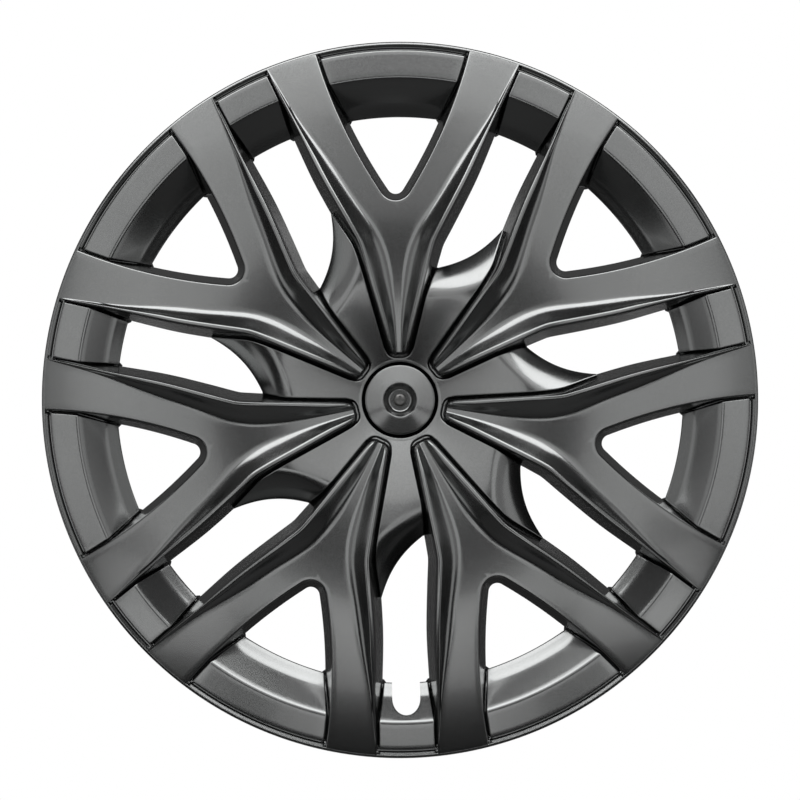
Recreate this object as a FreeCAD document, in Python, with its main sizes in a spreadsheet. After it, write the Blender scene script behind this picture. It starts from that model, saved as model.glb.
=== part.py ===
"""Wheel cover for a 17 inch car wheel, with seven forked spokes, a centre cap and a spring ring.

Every piece is drawn with the wheel axis along Z and the face toward +Z, then stood upright:
the finished cover faces -Y, +Z is up and the valve notch is at the bottom.
The origin is on the wheel axis, in the plane where the rear of the outer lip rests on the rim.
"""

import FreeCAD, Part
import math
import os
import Sketcher

Vector = FreeCAD.Vector
Rotation = FreeCAD.Rotation
Placement = FreeCAD.Placement

# Driving sizes, in millimetres and degrees
SIZES = {
    # Whole cover
    "outer_radius": 222.5,
    "wall": 2.6,
    "spoke_count": 7,
    # Outer lip
    "lip_width": 3.6,
    "lip_height": 11.7,
    "lip_round": 1.9,
    "seat_taper": 1.9,
    "seat_height": 5.0,
    "heel_clearance": 1.0,
    # Rim panels, from the lip inward
    "lip_groove": 2.4,
    "groove_width": 1.3,
    "groove_depth": 1.1,
    "pad_height": 11.0,
    "crest_radius": 200.3,
    "crease_radius": 186.5,
    "crease_height": -5.5,
    "opening_radius": 179.5,
    "opening_height": -9.0,
    # Shallow dome that the spoke tops lie on
    "crown_radius": 145.0,
    "crown_height": 15.0,
    "dome_rate": 0.00063,
    # Spoke sections: distance from the axis, half widths, and rise of the fins
    "tip_reach": 30.5,
    "tip_crease": 1.7,
    "tip_fin": 4.9,
    "tip_rise": 3.6,
    "nose_reach": 56.0,
    "nose_crease": 3.0,
    "nose_fin": 11.7,
    "nose_rise": 5.8,
    "knee_reach": 82.0,
    "knee_crease": 5.6,
    "knee_fin": 17.8,
    "knee_rise": 7.8,
    "bend_reach": 96.0,
    "bend_crease": 8.8,
    "bend_fin": 21.9,
    "bend_rise": 8.4,
    "fork_reach": 113.0,
    "fork_crease": 16.4,
    "fork_fin": 30.4,
    "fork_rise": 8.0,
    "arm_reach": 140.0,
    "arm_crease": 35.4,
    "arm_fin": 45.0,
    "arm_rise": 5.4,
    "shoulder_reach": 172.0,
    "shoulder_crease": 57.4,
    "shoulder_fin": 60.6,
    "shoulder_rise": 2.0,
    "heel_angle": 20.3,
    "heel_crease_gap": 0.9,
    "heel_rise": 0.4,
    # Spoke sides
    "flank_run": 5.0,
    "foot_height": -9.0,
    # Window inside each fork
    "window_apex": 123.6,
    "window_round": 10.0,
    "window_spread": 29.0,
    "window_far": 50.2,
    "window_bow": 330.0,
    "window_level": 14.5,
    "window_draft": 0.215,
    # Hub web and its scooped edges
    "web_height": 4.0,
    "web_radius": 126.5,
    "scoop_centre": 135.1,
    "scoop_side": 42.9,
    "scoop_low": 57.2,
    "scoop_high": 71.5,
    # Well for the centre cap, with the boss for its screw
    "well_radius": 24.1,
    "well_floor": -2.0,
    "boss_radius": 5.0,
    "boss_length": 14.0,
    "pilot_radius": 1.7,
    # Valve notch
    "notch_width": 17.6,
    "notch_reach": 196.5,
    # Retention legs
    "leg_radius": 199.2,
    "leg_width": 26.0,
    "leg_end": -32.0,
    "barb_height": 2.5,
    "rib_spacing": 20.0,
    # Spring ring
    "wire_radius": 1.5,
    "wire_height": -22.0,
    "wire_clearance": 0.15,
    "ring_gap_angle": 8.0,
    "ring_bend": 5.0,
    "ring_end": 9.0,
    # Centre cap
    "cap_radius": 22.4,
    "cap_height": 5.0,
    "cap_edge": 0.7,
    "cup_radius": 10.3,
    "cup_floor_radius": 7.0,
    "cup_floor": 0.6,
    # Cap screw
    "head_radius": 4.1,
    "head_height": 2.4,
    "shank_radius": 2.1,
    "shank_length": 13.0,
    "recess_width": 1.1,
    "recess_length": 5.0,
    "recess_depth": 1.6,
}

UPRIGHT = Placement(Vector(0, 0, 0), Rotation(Vector(1, 0, 0), 90))


class Size:
    """A length that knows its number and the sheet expression that gives it."""

    def __init__(self, value, text):
        self.value = value
        self.text = text

    @staticmethod
    def of(other):
        return other if isinstance(other, Size) else Size(float(other), repr(float(other)))

    def __add__(self, other):
        other = Size.of(other)
        return Size(self.value + other.value, f"({self.text} + {other.text})")

    def __sub__(self, other):
        other = Size.of(other)
        return Size(self.value - other.value, f"({self.text} - {other.text})")

    def __mul__(self, other):
        other = Size.of(other)
        return Size(self.value * other.value, f"({self.text} * {other.text})")

    def __truediv__(self, other):
        other = Size.of(other)
        return Size(self.value / other.value, f"({self.text} / {other.text})")

    def __neg__(self):
        return Size(-self.value, f"(0 - {self.text})")

    def squared(self):
        return Size(self.value ** 2, f"({self.text}) ^ 2")

    def root(self):
        return Size(math.sqrt(self.value), f"sqrt({self.text})")

    def sine(self):
        return Size(math.sin(math.radians(self.value)), f"sin({self.text} * 1 deg)")

    def cosine(self):
        return Size(math.cos(math.radians(self.value)), f"cos({self.text} * 1 deg)")

    def at_most(self, other):
        other = Size.of(other)
        return Size(min(self.value, other.value), f"min({self.text}; {other.text})")


class Sheet:
    """The sheet of driving sizes; each alias reads back as a Size."""

    def __init__(self, document):
        self.sheet = document.addObject("Spreadsheet::Sheet", "Sizes")
        for row, (alias, number) in enumerate(SIZES.items(), start=1):
            self.sheet.set(f"A{row}", alias)
            self.sheet.set(f"B{row}", str(number))
            self.sheet.setAlias(f"B{row}", alias)
        document.recompute()

    def __getattr__(self, alias):
        return Size(float(getattr(self.sheet, alias)), f"Sizes.{alias}")


doc = FreeCAD.newDocument("wheel_cover")
size = Sheet(doc)


# Helpers shared by the pieces

def add(kind, name, **properties):
    """Add an object and set its plain properties."""
    item = doc.addObject(kind, name)
    for key, value in properties.items():
        setattr(item, key, value)
    return item


def bind(item, path, length):
    """Bind one property to a size."""
    item.setExpression(path, Size.of(length).text)


def arc_between(start, end, radius):
    """Arc from start to end; a positive radius bulges to the right of the way from start to end."""
    chord = end - start
    half = chord.Length / 2
    drop = abs(radius) - math.sqrt(radius ** 2 - half ** 2)
    side = Vector(chord.y, -chord.x, 0).normalize() * math.copysign(drop, radius)
    return Part.Arc(start, (start + end) / 2 + side, end)


def profile(name, points, radii=None):
    """Closed sketch through points given as pairs of sizes.

    radii maps the number of a side to the radius of the arc that replaces it.
    """
    radii = radii or {}
    sketch = doc.addObject("Sketcher::SketchObject", name)
    sizes = [(Size.of(across), Size.of(up)) for across, up in points]
    spots = [Vector(across.value, up.value, 0) for across, up in sizes]
    count = len(spots)
    ends = []
    for side in range(count):
        start, end = spots[side], spots[(side + 1) % count]
        if side in radii:
            curve = arc_between(start, end, radii[side].value)
        else:
            curve = Part.LineSegment(start, end)
        sketch.addGeometry(curve, False)
        first = (sketch.getPoint(side, 1) - start).Length < (sketch.getPoint(side, 2) - start).Length
        ends.append((1, 2) if first else (2, 1))
    for side in range(count):
        after = (side + 1) % count
        joined = Sketcher.Constraint("Coincident", side, ends[side][1], after, ends[after][0])
        sketch.addConstraint(joined)
    for side, (across, up) in enumerate(sizes):
        for axis, length in (("X", across), ("Y", up)):
            given = Sketcher.Constraint("Distance" + axis, -1, 1, side, ends[side][0], length.value)
            number = sketch.addConstraint(given)
            sketch.renameConstraint(number, f"corner{side}{axis}")
            bind(sketch, f"Constraints.corner{side}{axis}", length)
    for side, radius in radii.items():
        number = sketch.addConstraint(Sketcher.Constraint("Radius", side, abs(radius.value)))
        sketch.renameConstraint(number, f"bow{side}")
        bind(sketch, f"Constraints.bow{side}", radius if radius.value > 0 else -radius)
    return sketch


def turned(name, points, radii=None):
    """Solid of revolution about the wheel axis, from points given as radius and height."""
    sketch = profile(name + "_profile", points, radii)
    sketch.Placement = UPRIGHT
    return add("Part::Revolution", name, Source=sketch, Axis=Vector(0, 0, 1), Angle=360, Solid=True)


def section(name, reach, points):
    """Spoke section across the spoke, at a distance from the wheel axis."""
    sketch = profile(name, points)
    sketch.Placement = Placement(Vector(0, Size.of(reach).value, 0), UPRIGHT.Rotation)
    bind(sketch, "Placement.Base.y", reach)
    return sketch


def level(name, height, points, radii=None):
    """Flat sketch at a height along the wheel axis."""
    sketch = profile(name, points, radii)
    sketch.Placement = Placement(Vector(0, 0, Size.of(height).value), Rotation())
    bind(sketch, "Placement.Base.z", height)
    return sketch


def drum(name, radius, bottom, top):
    """Plain cylinder on the wheel axis."""
    item = add("Part::Cylinder", name)
    bind(item, "Radius", radius)
    bind(item, "Height", Size.of(top) - bottom)
    bind(item, "Placement.Base.z", bottom)
    return item


def fuse(name, shapes, refine=False):
    return add("Part::MultiFuse", name, Shapes=shapes, Refine=refine)


def cut(name, base, tool):
    return add("Part::Cut", name, Base=base, Tool=tool, Refine=False)


def around(item, first=0.0):
    """Links to an item, turned about the wheel axis once for each spoke."""
    copies = []
    for turn in range(int(SIZES["spoke_count"])):
        link = add("App::Link", f"{item.Name}_turn{turn}", LinkedObject=item)
        angle = f"{first} + {turn} * 360 / Sizes.spoke_count"
        axis = "create(<<vector>>; 0; 0; 1)"
        spin = f"create(<<rotation>>; {axis}; {angle})"
        link.setExpression("Placement", f"create(<<placement>>; create(<<vector>>; 0; 0; 0); {spin})")
        copies.append(link)
    return copies


# Rim: outer lip, pads, steep walls and ledges, turned as one thin section

lip_radius = size.outer_radius - size.lip_width
groove_edge = lip_radius - size.lip_groove
back_height = size.pad_height - size.wall
steep_run = size.crest_radius - size.crease_radius
steep_drop = size.pad_height - size.crease_height
ledge_run = size.crease_radius - size.opening_radius
ledge_drop = size.crease_height - size.opening_height


def steep_back(height):
    """Radius of the back of the steep wall at a height."""
    slant = (steep_run.squared() + steep_drop.squared()).root()
    front = size.crest_radius - (size.pad_height - height) * steep_run / steep_drop
    return front + size.wall * slant / steep_drop


def make_rim():
    crease_back = size.crease_height - size.wall * 0.85
    rim = turned("rim", [
        (size.outer_radius - size.seat_taper, 0),
        (size.outer_radius, size.seat_height),
        (size.outer_radius, size.lip_height - size.lip_round),
        (size.outer_radius - size.lip_round, size.lip_height),
        (lip_radius, size.lip_height),
        (lip_radius - 0.2, size.pad_height - size.groove_depth),
        (groove_edge + 0.2, size.pad_height - size.groove_depth),
        (groove_edge, size.pad_height),
        (size.crest_radius, size.pad_height),
        (size.crease_radius, size.crease_height),
        (size.opening_radius, size.opening_height),
        (size.opening_radius + size.wall * 0.4, size.opening_height - size.wall),
        (steep_back(crease_back), crease_back),
        (steep_back(back_height), back_height),
        (size.outer_radius - size.wall, back_height),
        (size.outer_radius - size.wall, size.seat_height),
        (size.outer_radius - size.seat_taper - size.wall, 0),
    ])
    return rim


def make_rim_core():
    """Everything behind the floor of the grooves that outline the rim panels."""
    deep = size.groove_depth
    return turned("rim_core", [
        (lip_radius + 1, size.pad_height - deep),
        (size.crest_radius - deep * 0.5, size.pad_height - deep),
        (size.crease_radius + deep * 0.3, size.crease_height - deep),
        (size.opening_radius - 12, size.opening_height - deep - 4),
        (size.opening_radius - 12, size.opening_height - 20),
        (lip_radius + 1, size.opening_height - 20),
    ])


# Forked spokes: one lofted wedge with raised fins, opened by a drafted window

def dome_height(across, reach):
    radius = (Size.of(across).squared() + Size.of(reach).squared()).root()
    return size.crown_height - size.dome_rate * (radius - size.crown_radius).squared()


def spoke_stations():
    """Reach, crease half width, fin half width and fin rise of each section."""
    rows = []
    for name in ("tip", "nose", "knee", "bend", "fork", "arm", "shoulder"):
        rows.append(tuple(getattr(size, f"{name}_{what}") for what in ("reach", "crease", "fin", "rise")))
    heel_reach = lip_radius * size.heel_angle.cosine()
    heel_fin = lip_radius * size.heel_angle.sine()
    rows.append((heel_reach, heel_fin - size.heel_crease_gap, heel_fin, size.heel_rise))
    beyond = (heel_reach - size.shoulder_reach) * 0.6
    stretch = (heel_fin - size.shoulder_fin) * 0.6
    past_fin = heel_fin + stretch
    rows.append((heel_reach + beyond, past_fin - size.heel_crease_gap, past_fin, size.heel_rise))
    return rows


def make_wedge(name, grow, drop, share, foot):
    """Lofted spoke before its window is cut.

    grow widens it, drop lowers its top and share is how much of the fins' rise it has.
    """
    sections = []
    for number, (reach, crease, fin, rise) in enumerate(spoke_stations()):
        ridge = dome_height(crease, reach) + rise
        slope = size.flank_run / (ridge - size.foot_height)
        edge = fin + grow
        base = edge + slope * (ridge - foot)
        inner = crease.at_most(edge - 0.5)
        floor = dome_height(crease, reach) - drop
        peak = floor + rise * share
        crown = dome_height(0, reach) - drop
        points = [
            (-base, foot), (-edge, peak), (-inner, floor), (Size.of(0), crown),
            (inner, floor), (edge, peak), (base, foot),
        ]
        sections.append(section(f"{name}_section{number}", reach, points))
    return add("Part::Loft", name, Sections=sections, Solid=True, Ruled=False)


def make_window(name, shrink):
    """Drafted window inside the fork; shrink moves its sides inward all round."""
    sketches = []
    for part, height in (("rear", Size.of(-16.0)), ("front", Size.of(32.0))):
        inset = (size.window_level - height) * size.window_draft + shrink
        corner = size.window_round - inset
        side = corner * size.window_spread.cosine()
        base = size.window_apex + size.window_round - corner * size.window_spread.sine()
        far = size.window_far - inset * 1.05
        points = [(-side, base), (side, base), (far, size.outer_radius), (-far, size.outer_radius)]
        radii = {0: corner, 1: size.window_bow, 3: size.window_bow}
        sketches.append(level(f"{name}_{part}", height, points, radii))
    return add("Part::Loft", name, Sections=sketches, Solid=True, Ruled=True)


def make_spoke(name, grow, drop, share, foot, trim, heel):
    """Spoke with its window cut out, trimmed to a radius at the lip and to its heel below that."""
    wedge = make_wedge(f"{name}_wedge", grow, drop, share, foot)
    step = size.seat_height
    bound = turned(f"{name}_bound", [(0, -40), (heel, -40), (heel, step), (trim, step), (trim, 60), (0, 60)])
    trimmed = add("Part::Common", f"{name}_trimmed", Base=wedge, Tool=bound)
    return cut(name, trimmed, make_window(f"{name}_window", grow))


# Hub web: one pie piece between two spokes, scooped by a slanted cone

def make_web(name, top, foot, inner_radius, outer_radius, grow):
    pie = drum(f"{name}_pie", outer_radius, foot, top)
    pie.setExpression("Angle", "360 / Sizes.spoke_count")
    pie.setExpression("Placement.Rotation.Angle", "90 - 360 / Sizes.spoke_count")
    core = drum(f"{name}_core", inner_radius, Size.of(foot) - 5, Size.of(top) + 5)
    ring = cut(f"{name}_ring", pie, core)
    slope = (size.scoop_high - size.scoop_low) / (size.web_height - size.foot_height)
    low, high = Size.of(foot) - 2, Size.of(top) + 2
    scoop = add("Part::Cone", f"{name}_scoop")
    bind(scoop, "Radius1", size.scoop_low + slope * (low - size.foot_height) + grow)
    bind(scoop, "Radius2", size.scoop_low + slope * (high - size.foot_height) + grow)
    bind(scoop, "Height", high - low)
    half = Size(180.0 / SIZES["spoke_count"], "(180 / Sizes.spoke_count)")
    bind(scoop, "Placement.Base.x", size.scoop_centre * half.sine() - size.scoop_side * half.cosine())
    bind(scoop, "Placement.Base.y", size.scoop_centre * half.cosine() + size.scoop_side * half.sine())
    bind(scoop, "Placement.Base.z", low)
    return cut(name, ring, scoop)


def make_nose_groove():
    """Shallow outline pressed into the web round the foot of each spoke."""
    floor = size.web_height - size.groove_depth
    rows = spoke_stations()[:4]
    sections = []
    start = rows[0][0] - size.groove_width - 1.2
    for number, (reach, crease, fin, rise) in enumerate(rows):
        ridge = dome_height(crease, reach) + rise
        slope = size.flank_run / (ridge - size.foot_height)
        edge = fin + slope * (ridge - floor) + size.groove_width
        points = [(-edge, floor), (-edge, 40), (edge, 40), (edge, floor)]
        place = start if number == 0 else reach
        sections.append(section(f"nose_groove_section{number}", place, points))
    return add("Part::Loft", "nose_groove", Sections=sections, Solid=True, Ruled=False)


# Well, notch and legs

def make_well():
    """Cup in the middle of the web that takes the cap, with a screw boss behind it."""
    under = size.well_floor - size.wall
    return turned("well", [
        (size.pilot_radius, size.well_floor),
        (size.well_radius, size.well_floor),
        (size.well_radius, size.web_height),
        (size.well_radius + size.wall, size.web_height),
        (size.well_radius + size.wall, under),
        (size.boss_radius, under),
        (size.boss_radius, under - size.boss_length),
        (size.pilot_radius, under - size.boss_length),
    ])


def make_notch():
    """Round-ended slot at the bottom for the tyre valve."""
    half = size.notch_width / 2
    middle = size.notch_reach - half
    points = [
        (-half, -middle), (half, -middle),
        (half, -(size.opening_radius - 15)), (-half, -(size.opening_radius - 15)),
    ]
    sketch = level("notch_outline", -30, points, {0: half * 1.0001})
    notch = add("Part::Extrusion", "notch", Base=sketch, Dir=Vector(0, 0, 1), DirMode="Custom", Solid=True)
    bind(notch, "LengthFwd", size.pad_height + 30 - size.wall)
    return notch


def upright_plate(name, points, width):
    """Plate in the plane of the wheel axis and the top spoke, given as radius and height."""
    sketch = profile(name + "_outline", points)
    sketch.Placement = Placement(Vector(0, 0, 0), Rotation(Vector(1, 1, 1), 120))
    plate = add("Part::Extrusion", name, Base=sketch, Dir=Vector(1, 0, 0), DirMode="Custom", Solid=True)
    plate.Symmetric = True
    bind(plate, "LengthFwd", width)
    return plate


def make_leg():
    """Springy leg behind a rim pad, with a barb outside and a seat for the wire inside."""
    near = size.leg_radius
    far = near + size.wall
    root = size.pad_height - 1
    lip = near - 2.8
    upper = size.wire_height + size.wire_radius + 0.3
    lower = size.wire_height - size.wire_radius - 0.3
    return upright_plate("leg", [
        (far, root),
        (far, size.wire_height + 7),
        (far + size.barb_height, size.wire_height + 1.5),
        (far + size.barb_height, size.wire_height - 1.5),
        (far - 0.8, size.leg_end),
        (near, size.leg_end),
        (near, lower - 2.2),
        (lip, lower - 1.6),
        (lip, lower),
        (near, lower),
        (near, upper),
        (lip, upper),
        (lip, upper + 1.6),
        (near, upper + 2.2),
        (near, root),
    ], size.leg_width)


def make_ribs():
    """Pair of gussets between a leg and the steep wall."""
    near = size.leg_radius + 0.8
    rib = upright_plate("rib", [
        (near, size.pad_height - 1.5),
        (near, -13),
        (steep_back(size.crease_height + 0.5) - 1.2, size.crease_height + 0.5),
        (steep_back(back_height) - 1.2, back_height),
    ], Size.of(2.2))
    left = add("App::Link", "rib_left", LinkedObject=rib)
    bind(left, "Placement.Base.x", -size.rib_spacing / 2)
    right = add("App::Link", "rib_right", LinkedObject=rib)
    bind(right, "Placement.Base.x", size.rib_spacing / 2)
    return [left, right]


# Cover body

def make_cover():
    nothing = Size.of(0)
    deep = size.foot_height - 6
    heel = size.outer_radius - size.seat_taper - size.wall - size.heel_clearance
    spoke = make_spoke("spoke", nothing, nothing, 1, size.foot_height, lip_radius + 1.2, heel)
    hollow = make_spoke("hollow", -size.wall, size.wall, 0.75, deep, lip_radius - 1.6, heel - size.wall)
    outline = make_spoke("outline", size.groove_width, nothing, 1, deep, lip_radius, heel)
    panel_groove = cut("panel_groove", outline, make_rim_core())

    web = make_web("web", size.web_height, size.foot_height, size.well_radius + 1, size.web_radius, nothing)
    grooves = around(make_nose_groove())
    web = cut("grooved_web", web, fuse("nose_grooves", [grooves[0], grooves[-1]]))
    under = size.web_height - size.wall
    behind = make_web("behind_web", under, deep, size.well_radius + size.wall,
                      size.web_radius - size.wall, size.wall * 1.4)

    rim = cut("grooved_rim", make_rim(), fuse("panel_grooves", around(panel_groove)))
    rim = cut("notched_rim", rim, make_notch())
    outside = fuse("outside", [rim] + around(spoke) + around(web))
    inside = fuse("inside", around(hollow) + around(behind))
    shell = cut("shell", outside, inside)
    leg = fuse("ribbed_leg", [make_leg()] + make_ribs())
    return fuse("cover_body", [shell, make_well()] + around(leg), refine=True)


# Centre cap

def make_cap():
    top = size.cap_height
    skirt = size.cap_radius - size.wall
    return turned("centre_cap", [
        (size.shank_radius + 0.2, size.well_floor),
        (size.shank_radius + 0.2, size.cup_floor),
        (size.cup_floor_radius, size.cup_floor),
        (size.cup_radius - 0.5, top - 0.6),
        (size.cup_radius + 0.5, top),
        (size.cap_radius - size.cap_edge * 2, top - 0.2),
        (size.cap_radius, top - size.cap_edge - 0.2),
        (size.cap_radius, size.well_floor),
        (skirt, size.well_floor),
        (skirt, top - size.wall),
        (size.cup_radius + size.wall * 0.6, top - size.wall),
        (size.cup_floor_radius + size.wall * 0.9, size.well_floor),
    ])


# Cap screw

def make_screw():
    seat = size.cup_floor
    crown = seat + size.head_height
    blank = turned("screw_blank", [
        (0, seat - size.shank_length),
        (size.pilot_radius * 0.4, seat - size.shank_length),
        (size.pilot_radius, seat - size.shank_length + 3),
        (size.pilot_radius, size.well_floor),
        (size.shank_radius, size.well_floor),
        (size.shank_radius, seat),
        (size.head_radius, seat),
        (size.head_radius, seat + size.head_height * 0.55),
        (size.head_radius * 0.72, crown - 0.15),
        (0, crown),
    ])
    bars = []
    for name, long, short in (("bar_across", "Length", "Width"), ("bar_along", "Width", "Length")):
        bar = add("Part::Box", name)
        bind(bar, long, size.recess_length)
        bind(bar, short, size.recess_width)
        bind(bar, "Height", size.recess_depth + 2)
        side = {"Length": "x", "Width": "y"}
        bind(bar, f"Placement.Base.{side[long]}", -size.recess_length / 2)
        bind(bar, f"Placement.Base.{side[short]}", -size.recess_width / 2)
        bind(bar, "Placement.Base.z", crown - size.recess_depth)
        bars.append(bar)
    return cut("cap_screw", blank, fuse("cross_recess", bars))


# Spring ring

def wire_section(name, reach, place, angle):
    """Square section with bevelled corners, at a reach from a place, turned about the wheel axis."""
    half, flat = size.wire_radius, size.wire_radius * 0.414
    corners = [(-half, -flat), (-flat, -half), (flat, -half), (half, -flat),
               (half, flat), (flat, half), (-flat, half), (-half, flat)]
    sketch = profile(name, [(reach + across, size.wire_height + up) for across, up in corners])
    sketch.Placement = Placement(place, Rotation(Vector(0, 0, 1), angle) * UPRIGHT.Rotation)
    return sketch


def make_ring():
    """Open wire ring; its two ends turn inward beside the valve."""
    radius = size.leg_radius - size.wire_radius - size.wire_clearance
    gap = size.ring_gap_angle
    start = wire_section("ring_start", radius, Vector(), gap.value - 90)
    hoop = add("Part::Revolution", "ring_hoop", Source=start, Axis=Vector(0, 0, 1), Solid=True)
    bind(hoop, "Angle", Size.of(360) - gap * 2)
    pieces = [hoop]
    for name, side in (("right", 1), ("left", -1)):
        facing = side * gap.value - 90
        outward = Rotation(Vector(0, 0, 1), facing).multVec(Vector(1, 0, 0))
        middle = outward * (radius.value - size.ring_bend.value)
        root = wire_section(f"ring_root_{name}", size.ring_bend, middle, facing)
        pieces.append(add("Part::Revolution", f"ring_bend_{name}", Source=root, Base=middle,
                          Axis=Vector(0, 0, -side), Angle=90, Solid=True))
        tail = wire_section(f"ring_tail_{name}", size.ring_bend, middle, facing - side * 90)
        end = add("Part::Extrusion", f"ring_end_{name}", Base=tail, Dir=-outward, DirMode="Custom", Solid=True)
        bind(end, "LengthFwd", size.ring_end)
        pieces.append(end)
    return fuse("spring_ring", pieces, refine=True)


# Build, check and write

def main():
    pieces = [make_cover(), make_cap(), make_screw(), make_ring()]
    for piece in pieces:
        piece.Label = piece.Name
        piece.Placement = UPRIGHT
    doc.recompute()
    for item in doc.Objects:
        if "Invalid" in item.State or "Error" in item.State:
            raise RuntimeError(f"{item.Name} did not build: {item.State}")
    for piece in pieces:
        if piece.Shape.isNull() or not piece.Shape.isValid():
            raise RuntimeError(f"{piece.Name} has no valid shape")
        if len(piece.Shape.Solids) != 1:
            raise RuntimeError(f"{piece.Name} is {len(piece.Shape.Solids)} solids")
    os.makedirs("parts", exist_ok=True)
    for piece in pieces:
        piece.Shape.exportStep(f"parts/{piece.Label}.step")
        print(piece.Label, round(piece.Shape.Volume / 1000, 1), "cubic cm", piece.Shape.BoundBox)


main()
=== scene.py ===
"""Dress the wheel cover: a thin gunmetal moulding with seven forked spokes, its cap, screw and ring.

Every shape is drawn in millimetres with the wheel axis along Z and the face toward +Z. It is then
stood upright in the row frame: face along -Y, +Z up, valve notch at the bottom.
"""

import logging
import math
from collections.abc import Callable, Sequence
from dataclasses import dataclass
from enum import Enum
from functools import reduce

import bmesh
import bpy
import numpy as np
from mathutils import Matrix, Vector


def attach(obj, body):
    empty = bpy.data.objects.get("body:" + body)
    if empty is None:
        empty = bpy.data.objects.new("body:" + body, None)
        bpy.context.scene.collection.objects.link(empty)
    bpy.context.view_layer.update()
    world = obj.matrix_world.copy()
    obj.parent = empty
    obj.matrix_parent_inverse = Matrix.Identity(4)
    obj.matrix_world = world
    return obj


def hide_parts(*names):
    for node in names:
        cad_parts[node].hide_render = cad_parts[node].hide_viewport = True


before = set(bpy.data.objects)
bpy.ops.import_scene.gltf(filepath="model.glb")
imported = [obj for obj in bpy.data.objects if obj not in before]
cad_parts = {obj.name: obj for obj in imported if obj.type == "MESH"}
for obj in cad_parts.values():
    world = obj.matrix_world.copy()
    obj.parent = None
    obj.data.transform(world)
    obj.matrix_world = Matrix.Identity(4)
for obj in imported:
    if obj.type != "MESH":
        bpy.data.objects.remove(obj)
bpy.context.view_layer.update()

log = logging.getLogger("wheel_cover")

Array = np.ndarray
Pair = tuple[float, float]
Colour = tuple[float, float, float]
Socket = bpy.types.NodeSocket

MM = 0.001
# Share of a groove's depth that is left at four points up its far side
GROOVE_FALL = (0.16, 0.05, 0.01, 0.0)


class Slot(Enum):
    """Material slots of the part's record."""

    COVER = "cover_paint"
    CAP = "cap_paint"
    SCREW = "screw_steel"
    RING = "ring_steel"


class Hand(Enum):
    """Side of a spoke or of the studio, seen from the front."""

    RIGHT = 1.0
    LEFT = -1.0


# Finishes


class NodeSheet:
    """A material's node tree with short calls to add and join nodes."""

    def __init__(self, name: str) -> None:
        """Start a material that has only its output and the piece's own coordinates.

        Args:
            name: Name of the new material.
        """
        self.material = bpy.data.materials.new(name)
        self.material.use_nodes = True
        self.tree = self.material.node_tree
        self.tree.nodes.clear()
        self.output = self.add("OutputMaterial")
        self.place = self.add("TexCoord").outputs["Object"]

    def add(self, kind: str, inputs: dict[str | int, object] | None = None,
            **settings: object) -> bpy.types.Node:
        """Add a node.

        Args:
            kind: Blender's name of the node type, without its first word.
            inputs: For each input, its value or the socket to link to it.
            settings: Values for the node's properties.

        Returns:
            The new node.
        """
        node = self.tree.nodes.new(f"ShaderNode{kind}")
        for key, value in settings.items():
            setattr(node, key, value)
        for key, value in (inputs or {}).items():
            if isinstance(value, Socket):
                self.tree.links.new(value, node.inputs[key])
            else:
                node.inputs[key].default_value = value
        return node

    def math(self, operation: str, *values: object) -> Socket:
        """Result of a sum on values or sockets."""
        return self.add("Math", dict(enumerate(values)), operation=operation).outputs[0]

    def noise(self, scale: float, detail: float) -> Socket:
        """Noise with a number of cells a metre and of octaves."""
        return self.add("TexNoise", {"Scale": scale, "Detail": detail, "Vector": self.place}).outputs["Fac"]

    def spread(self, value: Socket, low: float, high: float) -> Socket:
        """Stretch a value near one half: 0.3 becomes low and 0.7 becomes high."""
        ends = {"From Min": 0.3, "From Max": 0.7, "To Min": low, "To Max": high}
        return self.add("MapRange", {**ends, "Value": value}).outputs["Result"]

    def tint(self, value: Socket, dark: Colour, light: Colour) -> Socket:
        """Blend from dark at 0 to light at 1."""
        ends = {"A": (*dark, 1.0), "B": (*light, 1.0)}
        return self.add("Mix", {**ends, "Factor": value}, data_type="RGBA").outputs["Result"]

    def bump(self, height: Socket, depth: float, strength: float, **under: Socket) -> Socket:
        """Normal of a bump with a depth in metres, over the Normal of one under it where that is given."""
        inputs = {"Height": height, "Distance": depth, "Strength": strength, **under}
        return self.add("Bump", inputs).outputs["Normal"]

    def shown(self, shader: bpy.types.Node) -> bpy.types.Material:
        """The material, with a shader on its surface."""
        self.tree.links.new(shader.outputs[0], self.output.inputs["Surface"])
        return self.material


@dataclass(frozen=True)
class SatinPaint:
    """Satin metallic paint: fine flake in the base, a low sheen and slight orange peel."""

    name: str
    dark: Colour
    light: Colour
    metallic: float = 1.0
    roughness: Pair = (0.16, 0.23)
    coat: float = 0.35
    coat_roughness: float = 0.06
    flake: float = 2600.0
    cloud: float = 14.0
    peel: float = 420.0
    cloud_share: float = 0.25
    flake_share: Pair = (0.05, 0.7)
    relief: float = 0.08

    def material(self) -> bpy.types.Material:
        """Build the material.

        Returns:
            The paint, ready to assign.
        """
        sheet = NodeSheet(self.name)
        flake = sheet.noise(self.flake, 2.0)
        cloud = sheet.noise(self.cloud, 3.0)
        peel = sheet.noise(self.peel, 2.0)
        mixed = sheet.math("MULTIPLY_ADD", sheet.spread(cloud, 0.0, 1.0), self.cloud_share,
                           sheet.spread(flake, *self.flake_share))
        grain = sheet.bump(flake, 0.02 * MM, self.relief)
        return sheet.shown(sheet.add("BsdfPrincipled", {
            "Base Color": sheet.tint(mixed, self.dark, self.light), "Metallic": self.metallic,
            "Roughness": sheet.spread(flake, *self.roughness), "Coat Weight": self.coat,
            "Coat Roughness": self.coat_roughness,
            "Normal": sheet.bump(peel, 0.03 * MM, self.relief, Normal=grain)}))


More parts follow.
